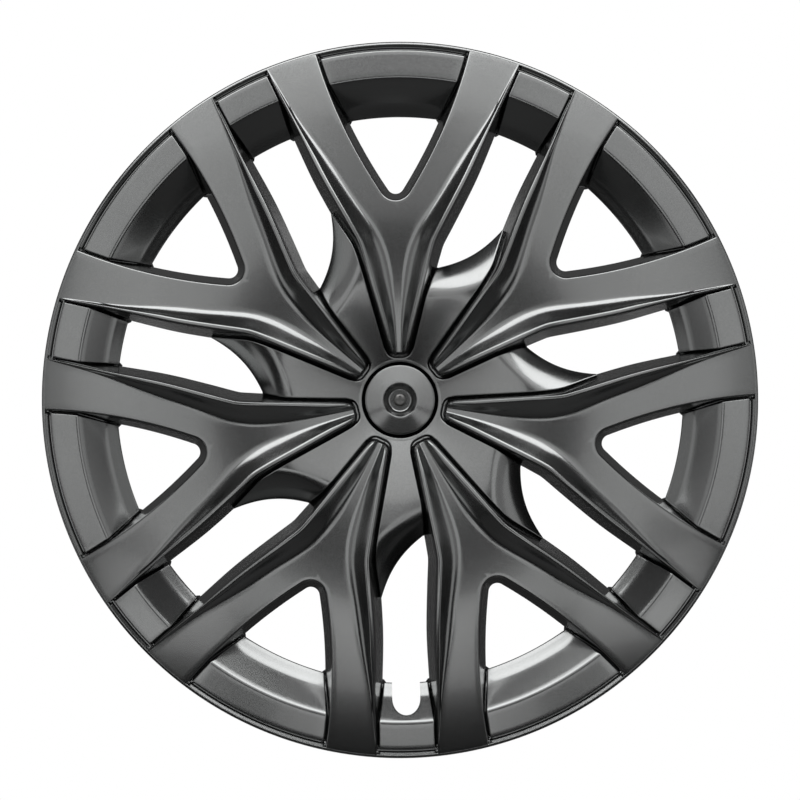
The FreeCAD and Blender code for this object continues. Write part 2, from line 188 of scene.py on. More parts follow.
@dataclass(frozen=True)
class Steel:
    """Plated or drawn steel with fine marks and a little colour variation."""

    name: str
    dark: Colour
    light: Colour
    roughness: Pair
    marks: float = 900.0
    cloud: float = 60.0
    relief: float = 0.2

    def material(self) -> bpy.types.Material:
        """Build the material.

        Returns:
            The steel, ready to assign.
        """
        sheet = NodeSheet(self.name)
        mark, cloud = sheet.noise(self.marks, 4.0), sheet.noise(self.cloud, 3.0)
        return sheet.shown(sheet.add("BsdfPrincipled", {
            "Base Color": sheet.tint(sheet.spread(cloud, 0.0, 1.0), self.dark, self.light), "Metallic": 1.0,
            "Roughness": sheet.spread(mark, *self.roughness),
            "Normal": sheet.bump(mark, 0.05 * MM, self.relief)}))


@dataclass(frozen=True)
class PaleSheet:
    """Pale studio paper: as white as told to the lens and in reflections, plain paper to the lamps."""

    name: str
    shade: float
    white: float
    grain: float = 30.0

    def material(self) -> bpy.types.Material:
        """Build the material.

        Returns:
            The paper, ready to assign.
        """
        sheet = NodeSheet(self.name)
        low, high = self.shade * 0.98, self.shade * 1.02
        grain = sheet.tint(sheet.noise(self.grain, 4.0), (low, low, low), (high, high, high))
        path = sheet.add("LightPath").outputs
        seen = path["Is Camera Ray"]
        for ray in ("Is Glossy Ray", "Is Transmission Ray"):
            seen = sheet.math("MAXIMUM", seen, path[ray])
        paper, glow = sheet.add("BsdfDiffuse", {"Color": grain}), sheet.add("Emission")
        return sheet.shown(sheet.add("MixShader", {
            "Fac": sheet.math("MULTIPLY", seen, self.white), 1: paper.outputs[0], 2: glow.outputs[0]}))


# Sheets of points in millimetres


class Rail:
    """Smooth curve through stations: a natural cubic spline that runs on straight past its ends."""

    def __init__(self, stations: Sequence[Pair]) -> None:
        """Fit the spline.

        Args:
            stations: Pairs of place and value, in order of place.
        """
        self.place = np.array([s[0] for s in stations], float)
        self.value = np.array([s[1] for s in stations], float)
        count = len(self.place)
        gap = np.diff(self.place)
        slope = np.diff(self.value) / gap
        system = np.eye(count)
        right = np.zeros(count)
        for i in range(1, count - 1):
            system[i, i - 1:i + 2] = gap[i - 1], 2 * (gap[i - 1] + gap[i]), gap[i]
            right[i] = 6 * (slope[i] - slope[i - 1])
        self.bend = np.linalg.solve(system, right)
        first = slope[0] - gap[0] * self.bend[1] / 6
        last = slope[-1] + gap[-1] * self.bend[-2] / 6
        self.ends = (first, last)

    def at(self, where: Array | float) -> Array:
        """Value of the curve.

        Args:
            where: Places along the curve.

        Returns:
            The values there.
        """
        x = np.asarray(where, float)
        i = np.clip(np.searchsorted(self.place, x) - 1, 0, len(self.place) - 2)
        gap = self.place[i + 1] - self.place[i]
        a, b = (self.place[i + 1] - x) / gap, (x - self.place[i]) / gap
        curve = (a * self.value[i] + b * self.value[i + 1]
                 + ((a ** 3 - a) * self.bend[i] + (b ** 3 - b) * self.bend[i + 1]) * gap ** 2 / 6)
        before = self.value[0] + self.ends[0] * (x - self.place[0])
        after = self.value[-1] + self.ends[1] * (x - self.place[-1])
        return np.where(x < self.place[0], before, np.where(x > self.place[-1], after, curve))

    def slope(self, where: Array | float) -> Array:
        """Slope of the curve, by a small difference."""
        return (self.at(np.asarray(where) + 0.05) - self.at(np.asarray(where) - 0.05)) / 0.1


def rounded(start: Array, corner: Array, end: Array, count: int) -> Array:
    """Points of a soft corner from start to end, both included, that bends toward the corner between."""
    t = np.linspace(0.0, 1.0, count)[:, None]
    return (1 - t) ** 2 * start + 2 * t * (1 - t) * corner + t ** 2 * end


def soft_line(corners: Sequence[Pair], trims: Sequence[float], steps: int = 4, run: float = 6.0) -> Array:
    """Line through corners, each rounded by its trim, with long runs divided.

    Args:
        corners: Corner points of the line.
        trims: How far from each corner its rounding starts; 0 keeps the corner.
        steps: Points in each rounding.
        run: Longest step on a straight run.

    Returns:
        The points of the line.
    """
    spots = [np.array(c, float) for c in corners]
    points: list[Array] = [spots[0]]
    for i in range(1, len(spots)):
        target = spots[i]
        if i < len(spots) - 1 and trims[i] > 0:
            back, ahead = spots[i - 1] - spots[i], spots[i + 1] - spots[i]
            start = spots[i] + back / np.linalg.norm(back) * trims[i]
            end = spots[i] + ahead / np.linalg.norm(ahead) * trims[i]
            bend = list(rounded(start, spots[i], end, steps))
            target = start
        else:
            bend = [target]
        pieces = max(1, int(math.ceil(np.linalg.norm(target - points[-1]) / run)))
        for k in range(1, pieces):
            points.append(points[-1] + (target - points[-1]) / (pieces - k + 1))
        points.extend(bend)
    return np.array(points)


class Skin:
    """Sheet of quads in millimetres."""

    def __init__(self) -> None:
        """Start with no points."""
        self.points = np.empty((0, 3))
        self.quads = np.empty((0, 4), int)

    def joined(self, points: Array, quads: Array) -> "Skin":
        """Add points and the quads between them.

        Args:
            points: The points.
            quads: Numbers of each quad's corners among these points.

        Returns:
            This sheet.
        """
        self.quads = np.concatenate([self.quads, quads + len(self.points)])
        self.points = np.concatenate([self.points, points])
        return self

    def grid(self, rows: Array, face_front: bool = True) -> "Skin":
        """Add a grid of points, joined by quads.

        Args:
            rows: Points in an array of rows, columns and coordinates.
            face_front: Turn the quads so that on the whole they face +Z.

        Returns:
            This sheet.
        """
        across = np.cross(rows[1:, :-1] - rows[:-1, :-1], rows[:-1, 1:] - rows[:-1, :-1])
        height, width = rows.shape[:2]
        index = np.arange(height * width).reshape(height, width)
        quads = np.stack([index[:-1, :-1], index[1:, :-1], index[1:, 1:], index[:-1, 1:]], -1).reshape(-1, 4)
        if face_front and across[..., 2].sum() < 0:
            quads = quads[:, ::-1]
        return self.joined(rows.reshape(-1, 3), quads)

    def mirrored(self) -> "Skin":
        """This sheet with its other half, across the plane through the wheel axis and the spoke."""
        return self.joined(self.points * (-1.0, 1.0, 1.0), self.quads[:, ::-1])

    def copied(self, other: "Skin", degrees: float) -> "Skin":
        """This sheet with a copy of another one, turned anticlockwise about the wheel axis."""
        return self.joined(spun(other.points, degrees), other.quads)

    def turned(self, copies: int) -> "Skin":
        """A new sheet with so many copies of this one, evenly spaced round the wheel axis."""
        turns = [-360.0 / copies * turn for turn in range(copies)]
        return reduce(lambda whole, turn: whole.copied(self, turn), turns, Skin())

    def mesh(self, name: str, closed: bool = False, weld: float = 0.004) -> bpy.types.Mesh:
        """Make the mesh, stood upright in metres, with its seams welded.

        Args:
            name: Name of the mesh.
            closed: Turn the faces of a closed form outward.
            weld: Points nearer than this become one, in millimetres.

        Returns:
            The mesh.
        """
        mesh = bpy.data.meshes.new(name)
        mesh.from_pydata(upright(self.points).tolist(), [], self.quads.tolist())
        form = bmesh.new()
        form.from_mesh(mesh)
        bmesh.ops.remove_doubles(form, verts=form.verts, dist=weld * MM)
        bmesh.ops.dissolve_degenerate(form, edges=form.edges, dist=weld * MM / 2)
        if closed:
            bmesh.ops.recalc_face_normals(form, faces=form.faces)
        form.to_mesh(mesh)
        form.free()
        return mesh


def upright(points: Array) -> Array:
    """Points in the row frame, in metres, from points in the drawing frame."""
    return np.stack([points[..., 0], -points[..., 2], points[..., 1]], -1) * MM


def spun(points: Array, degrees: float) -> Array:
    """Points of the drawing frame turned about the wheel axis, anticlockwise seen from the front."""
    c, s = math.cos(math.radians(degrees)), math.sin(math.radians(degrees))
    return np.concatenate([points[..., :2] @ np.array([[c, s], [-s, c]]), points[..., 2:]], -1)


def eased(value: Array, soft: float) -> Array:
    """Zero below zero and the value above it, with a soft turn between."""
    return (value + np.sqrt(value ** 2 + soft ** 2)) / 2


def placed(name: str, mesh: bpy.types.Mesh, thickness: float = 0.0, bevel: float = 0.0,
           cutter: bpy.types.Object | None = None, smooth: float = 38.0) -> bpy.types.Object:
    """Put a mesh in the scene as a piece of the cover.

    Args:
        name: Name of the piece.
        mesh: Its mesh, in the row frame.
        thickness: Wall thickness behind an open sheet, in millimetres.
        bevel: Width of the rounding on its edges, in millimetres.
        cutter: Form to cut away, which is then removed.
        smooth: Edges sharper than this angle stay sharp, in degrees.

    Returns:
        The piece.
    """
    piece = bpy.data.objects.new(name, mesh)
    bpy.context.scene.collection.objects.link(piece)
    if thickness > 0:
        wall = piece.modifiers.new("wall", "SOLIDIFY")
        wall.thickness = thickness * MM
        wall.offset = -1.0
    if bevel > 0:
        edge = piece.modifiers.new("edge", "BEVEL")
        edge.width, edge.segments, edge.limit_method = bevel * MM, 3, "ANGLE"
        edge.angle_limit = math.radians(40)
    if cutter is not None:
        opening = piece.modifiers.new("opening", "BOOLEAN")
        opening.object, opening.solver = cutter, "EXACT"
    bpy.context.view_layer.update()
    if piece.modifiers:
        graph = bpy.context.evaluated_depsgraph_get()
        piece.data = bpy.data.meshes.new_from_object(piece.evaluated_get(graph))
        piece.modifiers.clear()
        bpy.data.meshes.remove(mesh)
    if cutter is not None:
        bpy.data.objects.remove(cutter)
    piece.data.shade_smooth()
    piece.data.set_sharp_from_angle(angle=math.radians(smooth))
    return piece


def dressed(piece: bpy.types.Object, finish: bpy.types.Material, slot: Slot, *nodes: str) -> None:
    """Give a piece its finish and its place in the frame.

    Args:
        piece: The piece.
        finish: Its material.
        slot: The record's slot for it; not used.
        nodes: The CAD nodes that it stands for.
    """
    piece.data.materials.clear()
    piece.data.materials.append(finish)
    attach(piece, "root")
    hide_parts(*nodes)
    log.info("%s: %d faces, stands for %s", piece.name, len(piece.data.polygons), ", ".join(nodes))


def revolved(line: Array, steps: int) -> Array:
    """Grid of a line of radius and height, turned once about the wheel axis in so many steps."""
    angle = np.radians(np.linspace(0.0, 360.0, steps + 1))[:, None]
    return np.stack([line[:, 0] * np.sin(angle), line[:, 0] * np.cos(angle), line[:, 1] + angle * 0], -1)


def slabs(name: str, pairs: Sequence[tuple[Array, Array]]) -> bpy.types.Mesh:
    """Mesh of closed slabs.

    Args:
        name: Name of the mesh.
        pairs: For each slab, the outlines of its two sides, with as many corners.

    Returns:
        The mesh.
    """
    form = bmesh.new()
    for pair in pairs:
        near, far = ([form.verts.new(p) for p in upright(side)] for side in pair)
        form.faces.new(near)
        form.faces.new(far[::-1])
        for i in range(len(near)):
            k = (i + 1) % len(near)
            form.faces.new([near[i], far[i], far[k], near[k]])
    bmesh.ops.recalc_face_normals(form, faces=form.faces)
    mesh = bpy.data.meshes.new(name)
    form.to_mesh(mesh)
    form.free()
    return mesh


# Spokes


@dataclass
class SpokeForm:
    """Rails and heights that the spokes, the panels and the web share."""

    count: int = 7
    lip: float = 220.3
    crown_radius: float = 145.0
    crown_height: float = 15.0
    dome_rate: float = 0.00063
    dish_rate: float = 0.00082
    foot: float = -6.2
    flank_draft: float = 0.22
    heel_angle: float = 20.75
    tip: float = 30.2
    fins: tuple[Pair, ...] = ((30.0, 4.8), (52.0, 10.8), (74.0, 16.8), (88.0, 20.6), (93.5, 22.2),
                              (97.8, 23.7), (102.0, 25.8), (108.0, 29.1), (122.0, 36.8), (138.6, 45.7),
                              (158.9, 55.3), (169.1, 60.0))
    creases: tuple[Pair, ...] = ((30.0, 1.8), (46.0, 2.5), (61.0, 3.6), (77.0, 5.7), (92.5, 8.9),
                                 (108.0, 16.4), (124.0, 27.4), (140.0, 37.4), (172.0, 58.2))
    rises: tuple[Pair, ...] = ((30.5, 3.7), (56.0, 6.1), (82.0, 8.1), (96.0, 8.5), (113.0, 8.0),
                               (140.0, 5.4), (172.0, 2.0))
    window_apex: float = 123.6
    window_round: float = 10.0
    window_spread: float = 29.0
    window_far: float = 50.2
    window_end: float = 222.5
    window_bow: float = 330.0
    window_level: float = 14.5
    window_draft: float = 0.215
    window_lean: float = 0.12
    bend_share: float = 0.11

    def __post_init__(self) -> None:
        """Fit the rails through their stations and the heel at the lip."""
        reach = self.lip * math.cos(math.radians(self.heel_angle))
        width = self.lip * math.sin(math.radians(self.heel_angle))
        self.heel = reach
        self.fin = Rail((*self.fins, (reach, width)))
        self.crease = Rail((*self.creases, (reach, width - 0.9)))
        self.rise = Rail((*self.rises, (reach, 0.0)))

    def dome(self, across: Array, reach: Array) -> Array:
        """Height of the shallow dome that the spoke tops lie on."""
        past = np.hypot(across, reach) - self.crown_radius
        return self.crown_height - np.where(past < 0, self.dish_rate, self.dome_rate) * past ** 2

    def ridge(self, reach: Array) -> Array:
        """Height of the fin's top."""
        return self.dome(self.crease.at(reach), reach) + np.maximum(self.rise.at(reach), 0.0)

    def flank(self, reach: Array, height: Array) -> Array:
        """Half width of the spoke on its outer wall, at a distance along the spoke and a height."""
        return self.fin.at(reach) + self.flank_draft * (self.ridge(reach) - height)

    def window(self, share: Array, height: Array) -> tuple[Array, Array]:
        """Point on the window's wall and its outward direction.

        Args:
            share: Place along half the outline, from 0 at the crotch to 1 past the lip.
            height: Height on the wall.

        Returns:
            The point and the direction away from the window, both in the plane of the cover.
        """
        share, height = np.broadcast_arrays(np.asarray(share, float), np.asarray(height, float))
        inset = (self.window_level - height) * self.window_draft
        corner = self.window_round - inset
        middle = self.window_apex + self.window_round + (self.window_level - height) * self.window_lean
        spread = math.radians(self.window_spread)
        turn = np.clip(share / self.bend_share, 0, 1) * (math.pi / 2 - spread)
        arc = np.stack([corner * np.sin(turn), middle - corner * np.cos(turn)], -1)
        arc_out = np.stack([np.sin(turn), -np.cos(turn)], -1)
        start = np.stack([corner * math.cos(spread), middle - corner * math.sin(spread)], -1)
        end = np.stack([self.window_far - inset * 1.05, np.full_like(inset, self.window_end)], -1)
        chord = end - start
        length = np.linalg.norm(chord, axis=-1, keepdims=True)
        side = np.stack([chord[..., 1], -chord[..., 0]], -1) / length
        t = np.clip((share - self.bend_share) / (1 - self.bend_share), 0, 1)[..., None]
        sag = length ** 2 / (8 * self.window_bow)
        line = start + chord * t + side * 4 * sag * t * (1 - t)
        line_out = side - chord / length * (4 * sag / length) * (1 - 2 * t)
        line_out = line_out / np.linalg.norm(line_out, axis=-1, keepdims=True)
        bent = (share < self.bend_share)[..., None]
        return np.where(bent, arc, line), np.where(bent, arc_out, line_out)

    def window_share(self, radius: Array, height: Array) -> Array:
        """Place along the window's outline that is at a distance from the wheel axis."""
        return solved(lambda s: np.linalg.norm(self.window(s, height)[0], axis=-1), radius, 0.0, 1.0)

    def flank_reach(self, radius: Array, height: Array) -> Array:
        """Distance along the spoke at which its outer wall is at a distance from the wheel axis."""
        return solved(lambda v: np.hypot(self.flank(v, height), v), radius, 20.0, 215.0)


def solved(measure: Callable[[Array], Array], target: Array, low: float, high: float) -> Array:
    """Place at which a rising measure reaches a target, by halving.

    Args:
        measure: The measure, which rises from low to high.
        target: The value to reach.
        low: Lowest place.
        high: Highest place.

    Returns:
        The places.
    """
    bottom = np.full(np.shape(target), low, float)
    top = np.full(np.shape(target), high, float)
    for _ in range(48):
        middle = (bottom + top) / 2
        short = measure(middle) < target
        bottom, top = np.where(short, middle, bottom), np.where(short, top, middle)
    return (bottom + top) / 2


@dataclass
class Spokes:
    """Seven forked spokes: hollow arms with a sunken floor, sharp fins and drafted windows."""

    form: SpokeForm
    wall: float = 2.4
    land: float = 2.3
    edge: float = 0.7
    crease_round: float = 3.4
    window_edge: float = 1.0
    corner: float = 2.5
    nose_rows: int = 34
    arm_rows: int = 46
    elbow: float = 104.0
    nose_ease: Pair = (1.25, 0.6)
    bend_rows: float = 0.16
    arm_level: float = 13.0
    lip_level: float = 11.6
    bow_power: int = 6
    samples: int = 400
    least_bevel: float = 0.8
    land_share: float = 0.34
    round_share: Pair = (0.42, 0.5)
    edge_share: float = 0.3
    least_draft: float = 0.62
    soft_points: int = 5
    wall_points: int = 6
    end_round: Pair = (0.45, 0.55)
    lap: float = 0.6
    lap_drop: float = 0.08
    lap_share: float = 0.006
    heel_back: float = 2.3
    heel_heights: Pair = (0.0, 6.0)
    tip_run: float = 9.0

    def rows(self) -> tuple[Array, Array, Array, Array]:
        """Lay out the rows across the spoke.

        Returns:
            Inner points, outer reach, place on the window outline (0 on the nose) and share of the bend
            onto the lip's circle.
        """
        form = self.form
        start, stop = form.tip, form.window_apex - self.window_edge
        ease = np.linspace(0, 1, self.nose_rows)
        power, share = self.nose_ease
        ease = ease ** power * share + ease * (1 - share)
        inner_v = start + (stop - start) * ease
        nose_inner = np.stack([np.zeros_like(inner_v), inner_v], -1)
        nose_outer = start + (self.elbow - start) * ease
        last = float(form.window_share(np.array(form.lip), np.array(self.lip_level)))
        t = np.linspace(0, 1, self.arm_rows + 1)[1:]
        bend, part = form.bend_share / last, self.bend_rows
        share = np.where(t < part, t / part * bend, bend + (t - part) / (1 - part) * (1 - bend)) * last
        guess, _ = form.window(share, self.arm_level)
        point, out = form.window(share, form.dome(guess[:, 0], guess[:, 1]))
        arm_inner = point + out * self.window_edge
        arm_outer = self.elbow + (form.heel - self.elbow) * t
        inner = np.concatenate([nose_inner, arm_inner])
        outer = np.concatenate([nose_outer, arm_outer])
        shares = np.concatenate([np.zeros(self.nose_rows), share])
        bow = np.concatenate([np.zeros(self.nose_rows), t ** self.bow_power])
        return inner, outer, shares, bow

    def section(self, inner: Array, reach: float, bow: float) -> Array:
        """Points of one row, from the inner edge over the floor, bevel and fin to the foot.

        Args:
            inner: Inner point in the plane of the cover.
            reach: Distance along the spoke of the row's outer end.
            bow: Share of the bend onto the lip's circle.

        Returns:
            The row of points.
        """
        form = self.form
        outer = np.array([float(form.fin.at(reach)), reach])
        length = float(np.linalg.norm(outer - inner))
        t = np.linspace(0, 1, self.samples)
        line = inner + (outer - inner) * t[:, None]
        inside = line[:, 0] < form.crease.at(line[:, 1])
        first = int(np.argmin(inside)) if not inside.all() else self.samples - 1
        crease = min(length * float(t[max(first, 1)]), length - self.least_bevel)
        bevel = length - crease
        land = min(self.land, self.land_share * bevel)
        trim = min(self.crease_round, self.round_share[0] * bevel, self.round_share[1] * crease)
        edge = min(self.edge, self.edge_share * land)
        top = float(form.ridge(reach))

        def at(distance: Array) -> Array:
            """Plan points at distances along the row, bowed onto the lip's circle near the rim."""
            share = (np.asarray(distance) / length)[:, None]
            spot = inner + (outer - inner) * share
            near, far = np.linalg.norm(inner), np.linalg.norm(outer)
            want = near + (far - near) * share
            return spot * (1 + bow * (want / np.linalg.norm(spot, axis=-1, keepdims=True) - 1))

        def floor(distance: float) -> float:
            """Height of the floor at a distance along the row."""
            return float(form.dome(*at(np.array([distance]))[0]))

        base = floor(crease)
        pitch = (top - base) / max(bevel - land, 0.01)
        flat = np.array([(d, floor(d)) for d in np.linspace(0, crease - trim, 8)])
        fillet = rounded(np.array([crease - trim, floor(crease - trim)]), np.array([crease, base]),
                         np.array([crease + trim, base + pitch * trim]), 6)[1:]
        shelf = length - land
        rise = np.linspace(crease + trim, shelf - edge, 4)[1:]
        slant = np.stack([rise, base + pitch * (rise - crease)], -1)
        inner_edge = rounded(np.array([shelf - edge, top - pitch * edge]), np.array([shelf, top]),
                             np.array([shelf + edge, top]), 4)[1:]
        plan_z = np.concatenate([flat, fillet, slant, inner_edge, [[length - edge, top]]])
        row = np.concatenate([at(plan_z[:, 0]), plan_z[:, 1:]], -1)
        away = np.array([1.0, -float(form.fin.slope(reach))])
        away /= np.linalg.norm(away)
        return np.concatenate([row, self.outer_wall(row[-1], np.array([*outer, top]), away, edge)])

    def outer_wall(self, start: Array, corner: Array, away: Array, edge: float) -> Array:
        """Points down the outer wall, with its rounded top edge.

        Args:
            start: Where the rounding starts on the top.
            corner: The top corner of the wall.
            away: Outward direction in the plane of the cover.
            edge: Size of the rounding.

        Returns:
            The points from just after start to the foot.
        """
        drop = corner[2] - self.form.foot
        run = self.form.flank_draft * drop * max(away[0], self.least_draft)
        reach = np.linalg.norm([run, drop])
        down = np.array([*(away * run), -drop]) / reach
        soft = rounded(start, corner, corner + down * edge, self.soft_points)[1:]
        falls = np.linspace(edge, reach, self.wall_points)[1:, None]
        return np.concatenate([soft, corner + down * falls])

    def end_wall(self, row: Array, top_columns: int) -> Array:
        """Wall round the nose tip, from the first row down to the foot.

        Args:
            row: The first row of the nose.
            top_columns: Number of its points on the top.

        Returns:
            The grid of the wall.
        """
        form = self.form
        side = np.array([1.0, -float(form.fin.slope(form.tip))])
        side /= np.linalg.norm(side)
        out, edge = self.end_round
        strips = []
        for spot in row[:top_columns]:
            lean = np.clip((spot[0] - (row[top_columns - 1, 0] - self.corner)) / self.corner, 0, 1)
            away = np.array([math.sin(lean * math.pi / 2), -math.cos(lean * math.pi / 2)])
            away = away * (1 - lean) + side * lean if lean > 0.5 else away
            away /= np.linalg.norm(away)
            corner = spot + np.array([*(away * out), 0.0])
            strips.append(np.concatenate([spot[None], self.outer_wall(spot, corner, away, edge)]))
        return np.array(strips)

    def build(self) -> bpy.types.Object:
        """Build the seven spokes as one thin moulding.

        Returns:
            The piece.
        """
        form = self.form
        inner, outer, shares, bow = self.rows()
        rows = np.array([self.section(i, float(o), float(b)) for i, o, b in zip(inner, outer, bow)])
        top_columns = rows.shape[1] - (self.soft_points + self.wall_points - 2)
        rows[:, :, 1] += self.tip_round(rows, top_columns)
        last = rows[-1:].copy()
        last[:, :, :2] *= (form.lip + self.lap) / form.lip
        last[:, :, 2] -= self.lap_drop
        rows = self.kept_in(np.concatenate([rows, last]))
        shares = np.concatenate([shares, shares[-1:] + self.lap_share])
        skin = Skin().grid(rows).grid(self.end_wall(rows[0], top_columns))
        first = self.nose_rows - 1
        walls = []
        for share, top in zip(shares[first:], rows[first:, 0]):
            below = top[2] - self.window_edge
            lip, side = form.window(share, top[2])[0], form.window(share, below)[0]
            soft = rounded(top, np.array([*lip, top[2]]), np.array([*side, below]), self.soft_points)
            falls = np.linspace(below, form.foot, self.wall_points)[1:]
            down, _ = form.window(np.full_like(falls, share), falls)
            walls.append(np.concatenate([soft, np.concatenate([down, falls[:, None]], -1)]))
        skin.grid(self.kept_in(np.array(walls))).mirrored()
        return placed("forked_spokes", skin.turned(form.count).mesh("forked_spokes"), self.wall)

    def kept_in(self, points: Array) -> Array:
        """Hold the ends of the arms inside the outer lip.

        Args:
            points: Points of the half spoke.

        Returns:
            The points, none past the lip.
        """
        radius = np.linalg.norm(points[..., :2], axis=-1)
        lip = self.form.lip
        limit = np.interp(points[..., 2], self.heel_heights, (lip - self.heel_back, lip + self.lap))
        share = np.minimum(1.0, limit / np.maximum(radius, 1.0))
        return np.concatenate([points[..., :2] * share[..., None], points[..., 2:]], -1)

    def tip_round(self, rows: Array, top_columns: int) -> Array:
        """How far each point near the tip moves up the spoke to round the corner of the nose.

        Args:
            rows: The rows of the half spoke.
            top_columns: Number of columns on the top.

        Returns:
            The shift of each point along the spoke.
        """
        edge = rows[:, top_columns - 1, 0][:, None]
        over = np.clip((rows[:, :, 0] - (edge - self.corner)) / self.corner, 0, 0.92)
        rise = self.corner * (1 - np.sqrt(1 - over ** 2))
        fade = np.clip(1 - (rows[:, :1, 1] - self.form.tip) / self.tip_run, 0, 1) ** 2
        return rise * fade


# Rim


@dataclass
class OuterLip:
    """Plain rim of the cover: rounded lip, tapered skirt and the seat behind it."""

    form: SpokeForm
    outer: float = 222.5
    round: float = 1.5
    seat_taper: float = 1.9
    seat_height: float = 5.0
    wall: float = 2.6
    underside: float = 7.5
    clear: float = 0.05
    steps: int = 336

    def build(self) -> bpy.types.Object:
        """Build the lip.

        Returns:
            The piece.
        """
        inner, back = self.form.lip, self.outer - self.wall
        top, edge = (float(self.form.dome(np.array(0.0), np.array(r))) for r in (inner, self.outer))
        line = soft_line(
            [(inner + self.clear, self.underside), (inner, top), (self.outer, edge),
             (self.outer, self.seat_height), (self.outer - self.seat_taper, 0.0),
             (back - self.seat_taper, 0.0), (back, self.seat_height), (back, self.underside),
             (inner + self.clear, self.underside)],
            [0, 0.45, self.round, 0.6, 0.5, 0.5, 0.6, 0.4, 0], 6, 5.0)
        return turned_solid("outer_lip", line, self.steps)


def turned_solid(name: str, line: Array, steps: int, **options: object) -> bpy.types.Object:
    """Piece made by turning a closed line of radius and height, with the options that placed takes."""
    mesh = Skin().grid(revolved(line, steps), face_front=False).mesh(name, closed=True)
    return placed(name, mesh, **options)


@dataclass
class RimPanels:
    """Fourteen panels between the arms: pad, steep wall and ledge, outlined by shallow grooves."""

    form: SpokeForm
    pad: float = 11.0
    lip_groove: float = 217.3
    crest: float = 200.3
    crease: Pair = (185.8, -2.5)
    opening: Pair = (178.9, -6.1)
    groove: float = 1.8
    depth: float = 2.6
    wall: float = 2.4
    notch_width: float = 17.6
    notch_reach: float = 196.5
    notch_place: int = 3
    notch_edge: float = 0.25
    lap: Pair = (0.5, 0.3)
    shoulder: Pair = (1.6, 1.4)
    groove_floor: Pair = (1.1, 0.5)
    rim_edge: Pair = (0.5, 2.4)
    rounds: tuple[float, ...] = (0.0, 0.4, 0.1, 0.1, 1.0, 1.6, 2.2, 0.8, 0.0)
    narrow: float = 0.55
    near_edge: float = 1.2
    reach: float = 1.3

    def line(self) -> tuple[Array, Array, Array]:
        """Section of a panel from the lip inward.

        Returns:
            Points as radius and height, their front directions, and the depth left for side grooves.
        """
        low, groove = self.pad - self.depth, self.lip_groove
        points = soft_line(
            [(self.form.lip + self.lap[0], self.pad + self.lap[1]),
             (groove + self.shoulder[0], self.pad - self.shoulder[1]),
             *((groove + x, low) for x in self.groove_floor),
             (groove, self.pad), (self.crest, self.pad), self.crease, self.opening,
             (self.opening[0] + self.rim_edge[0], self.opening[1] - self.rim_edge[1])], self.rounds, 5, 2.6)
        along = np.gradient(points, axis=0)
        edge = points[:, 0] < self.opening[0] + 1.0
        along[edge] = np.subtract(self.opening, self.crease)
        front = np.stack([along[:, 1], -along[:, 0]], -1)
        front /= np.linalg.norm(front, axis=-1, keepdims=True)
        by_lip = points[:, 0] > groove - self.near_edge
        sunk = np.where(by_lip, np.clip(points[:, 1] - low, 0, self.depth), self.depth)
        sunk[-1] = 0.0
        return points, front, sunk

    def panel(self, half: Array, stop: float = 0.0) -> Array:
        """Grid of half a panel, from the groove at its side to its middle or to the notch.

        Args:
            half: Half angle of the panel at each point of the section, in radians.
            stop: Distance from the middle at which the grid ends.

        Returns:
            The grid.
        """
        points, front, sunk = self.line()
        gaps = np.interp(points[:, 1], [self.opening[1], self.pad], [self.groove * self.narrow, self.groove])
        lowered = np.array([1.0, 1.0, 1.0, *GROOVE_FALL])
        rows = []
        for (radius, height), ahead, deep, reach, gap in zip(points, front, sunk, half, gaps):
            side = reach * radius - np.array([-0.9, 0.2, 0.3, gap - 0.1, gap + 0.05, gap + 0.25, gap + 0.7])
            across = np.concatenate([side, np.linspace(side[-1], stop, 9)[1:]])
            drop = np.concatenate([lowered, np.zeros(8)]) * deep
            angle = across / radius
            r = radius - drop * ahead[0]
            rows.append(np.stack([r * np.sin(angle), r * np.cos(angle), height - drop * ahead[1]], -1))
        return np.array(rows)

    def notch(self) -> Array:
        """Grid of half the notched panel between the notch's sides, down to its round end.

        Returns:
            The grid.
        """
        points = self.line()[0]
        upper = points[points[:, 0] > self.crest - self.near_edge]
        half = self.notch_width / 2
        pitch = (self.pad - self.crease[1]) / (self.crest - self.crease[0])
        columns = []
        for u in half * np.sin(np.linspace(0, math.pi / 2, 17)):
            stop = math.hypot(u, self.notch_reach - half + math.sqrt(max(half ** 2 - u ** 2, 0.0)))
            radius = np.linspace(upper[-1, 0], stop, 11)[1:]
            fall = np.stack([radius, upper[-1, 1] + (radius - upper[-1, 0]) * pitch], -1)
            fall[-1, 1] -= self.notch_edge
            line = np.concatenate([upper, fall])
            angle = u / line[:, 0]
            columns.append(np.stack([line[:, 0] * np.sin(angle), line[:, 0] * np.cos(angle), line[:, 1]], -1))
        return np.array(columns)

    def build(self) -> bpy.types.Object:
        """Build the panels, the lowest one with the valve notch in it.

        Returns:
            The piece.
        """
        form = self.form
        points = self.line()[0]
        share = form.window_share(points[:, 0], points[:, 1])
        spot, _ = form.window(share, points[:, 1])
        reach = form.flank_reach(points[:, 0], points[:, 1])
        between = math.pi / form.count - np.arctan2(form.flank(reach, points[:, 1]), reach)
        large = Skin().grid(self.panel(np.arctan2(spot[:, 0], spot[:, 1]))).mirrored()
        small = Skin().grid(self.panel(between)).mirrored()
        notched = Skin().grid(self.panel(between, self.notch_width / 2)).grid(self.notch()).mirrored()
        whole, turn = Skin(), -360.0 / form.count
        for place in range(form.count):
            whole.copied(large, turn * place)
            whole.copied(notched if place == self.notch_place else small, turn * (place + 0.5))
        piece = placed("rim_panels", whole.mesh("rim_panels"), self.wall)
        limit = (form.lip + self.reach) * MM
        for vertex in piece.data.vertices:
            share = min(1.0, limit / math.hypot(vertex.co.x, vertex.co.z))
            vertex.co.x, vertex.co.z = vertex.co.x * share, vertex.co.z * share
        return piece


# Hub


